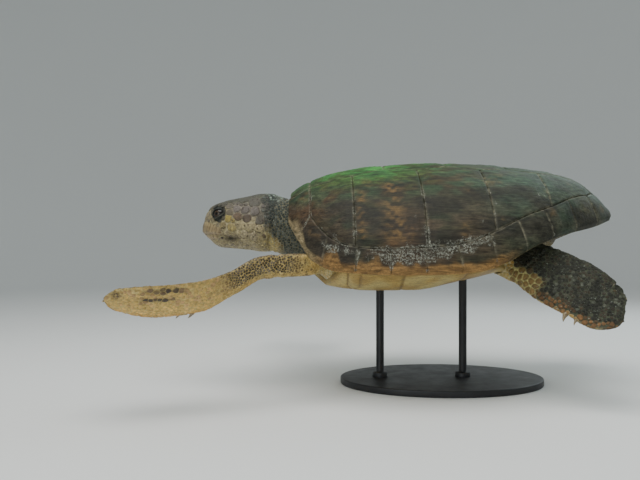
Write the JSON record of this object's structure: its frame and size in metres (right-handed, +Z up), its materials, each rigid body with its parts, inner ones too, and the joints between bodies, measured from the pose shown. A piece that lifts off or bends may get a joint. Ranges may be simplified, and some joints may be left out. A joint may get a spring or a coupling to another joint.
{
  "type": "loggerhead turtle model on a display stand",
  "caption": "Life-size loggerhead sea turtle in a swimming pose, a still museum-type model held up by a flat oval base and short rods.",
  "frame": {"origin": "centre of the stand base's underside, on the floor", "axes": "the turtle faces -X with its left side at -Y; +Z is up, away from the floor"},
  "size_m": [1.3118, 1.0914, 0.6113],
  "materials": {
    "skin": "scaly skin, yellow with brown scales",
    "carapace": "weathered horn with algae",
    "plastron": "smooth pale horn",
    "horn": "satin horn",
    "eye": "polished",
    "stand": "satin black"
  },
  "bodies": {
    "root": {"eye_left": "eye", "eye_right": "eye", "fore_flipper_left": "skin", "fore_flipper_left_claw_1": "horn", "fore_flipper_left_claw_2": "horn", "fore_flipper_right": "skin", "fore_flipper_right_claw_1": "horn", "fore_flipper_right_claw_2": "horn", "head": "skin", "hind_flipper_left": "skin", "hind_flipper_left_claw_1": "horn", "hind_flipper_left_claw_2": "horn", "hind_flipper_right": "skin", "hind_flipper_right_claw_1": "horn", "hind_flipper_right_claw_2": "horn", "lower_jaw": "skin", "neck": "skin", "plastron": "plastron", "shell_costal_left_1": "carapace", "shell_costal_left_2": "carapace", "shell_costal_left_3": "carapace", "shell_costal_left_4": "carapace", "shell_costal_left_5": "carapace", "shell_costal_right_1": "carapace", "shell_costal_right_2": "carapace", "shell_costal_right_3": "carapace", "shell_costal_right_4": "carapace", "shell_costal_right_5": "carapace", "shell_marginals_left": "carapace", "shell_marginals_right": "carapace", "shell_nuchal": "carapace", "shell_vertebral_1": "carapace", "shell_vertebral_2": "carapace", "shell_vertebral_3": "carapace", "shell_vertebral_4": "carapace", "shell_vertebral_5": "carapace", "stand_base": "stand", "stand_rod_front": "stand", "stand_rod_rear": "stand", "tail": "skin", "trunk": "skin"}
  },
  "joints": []
}
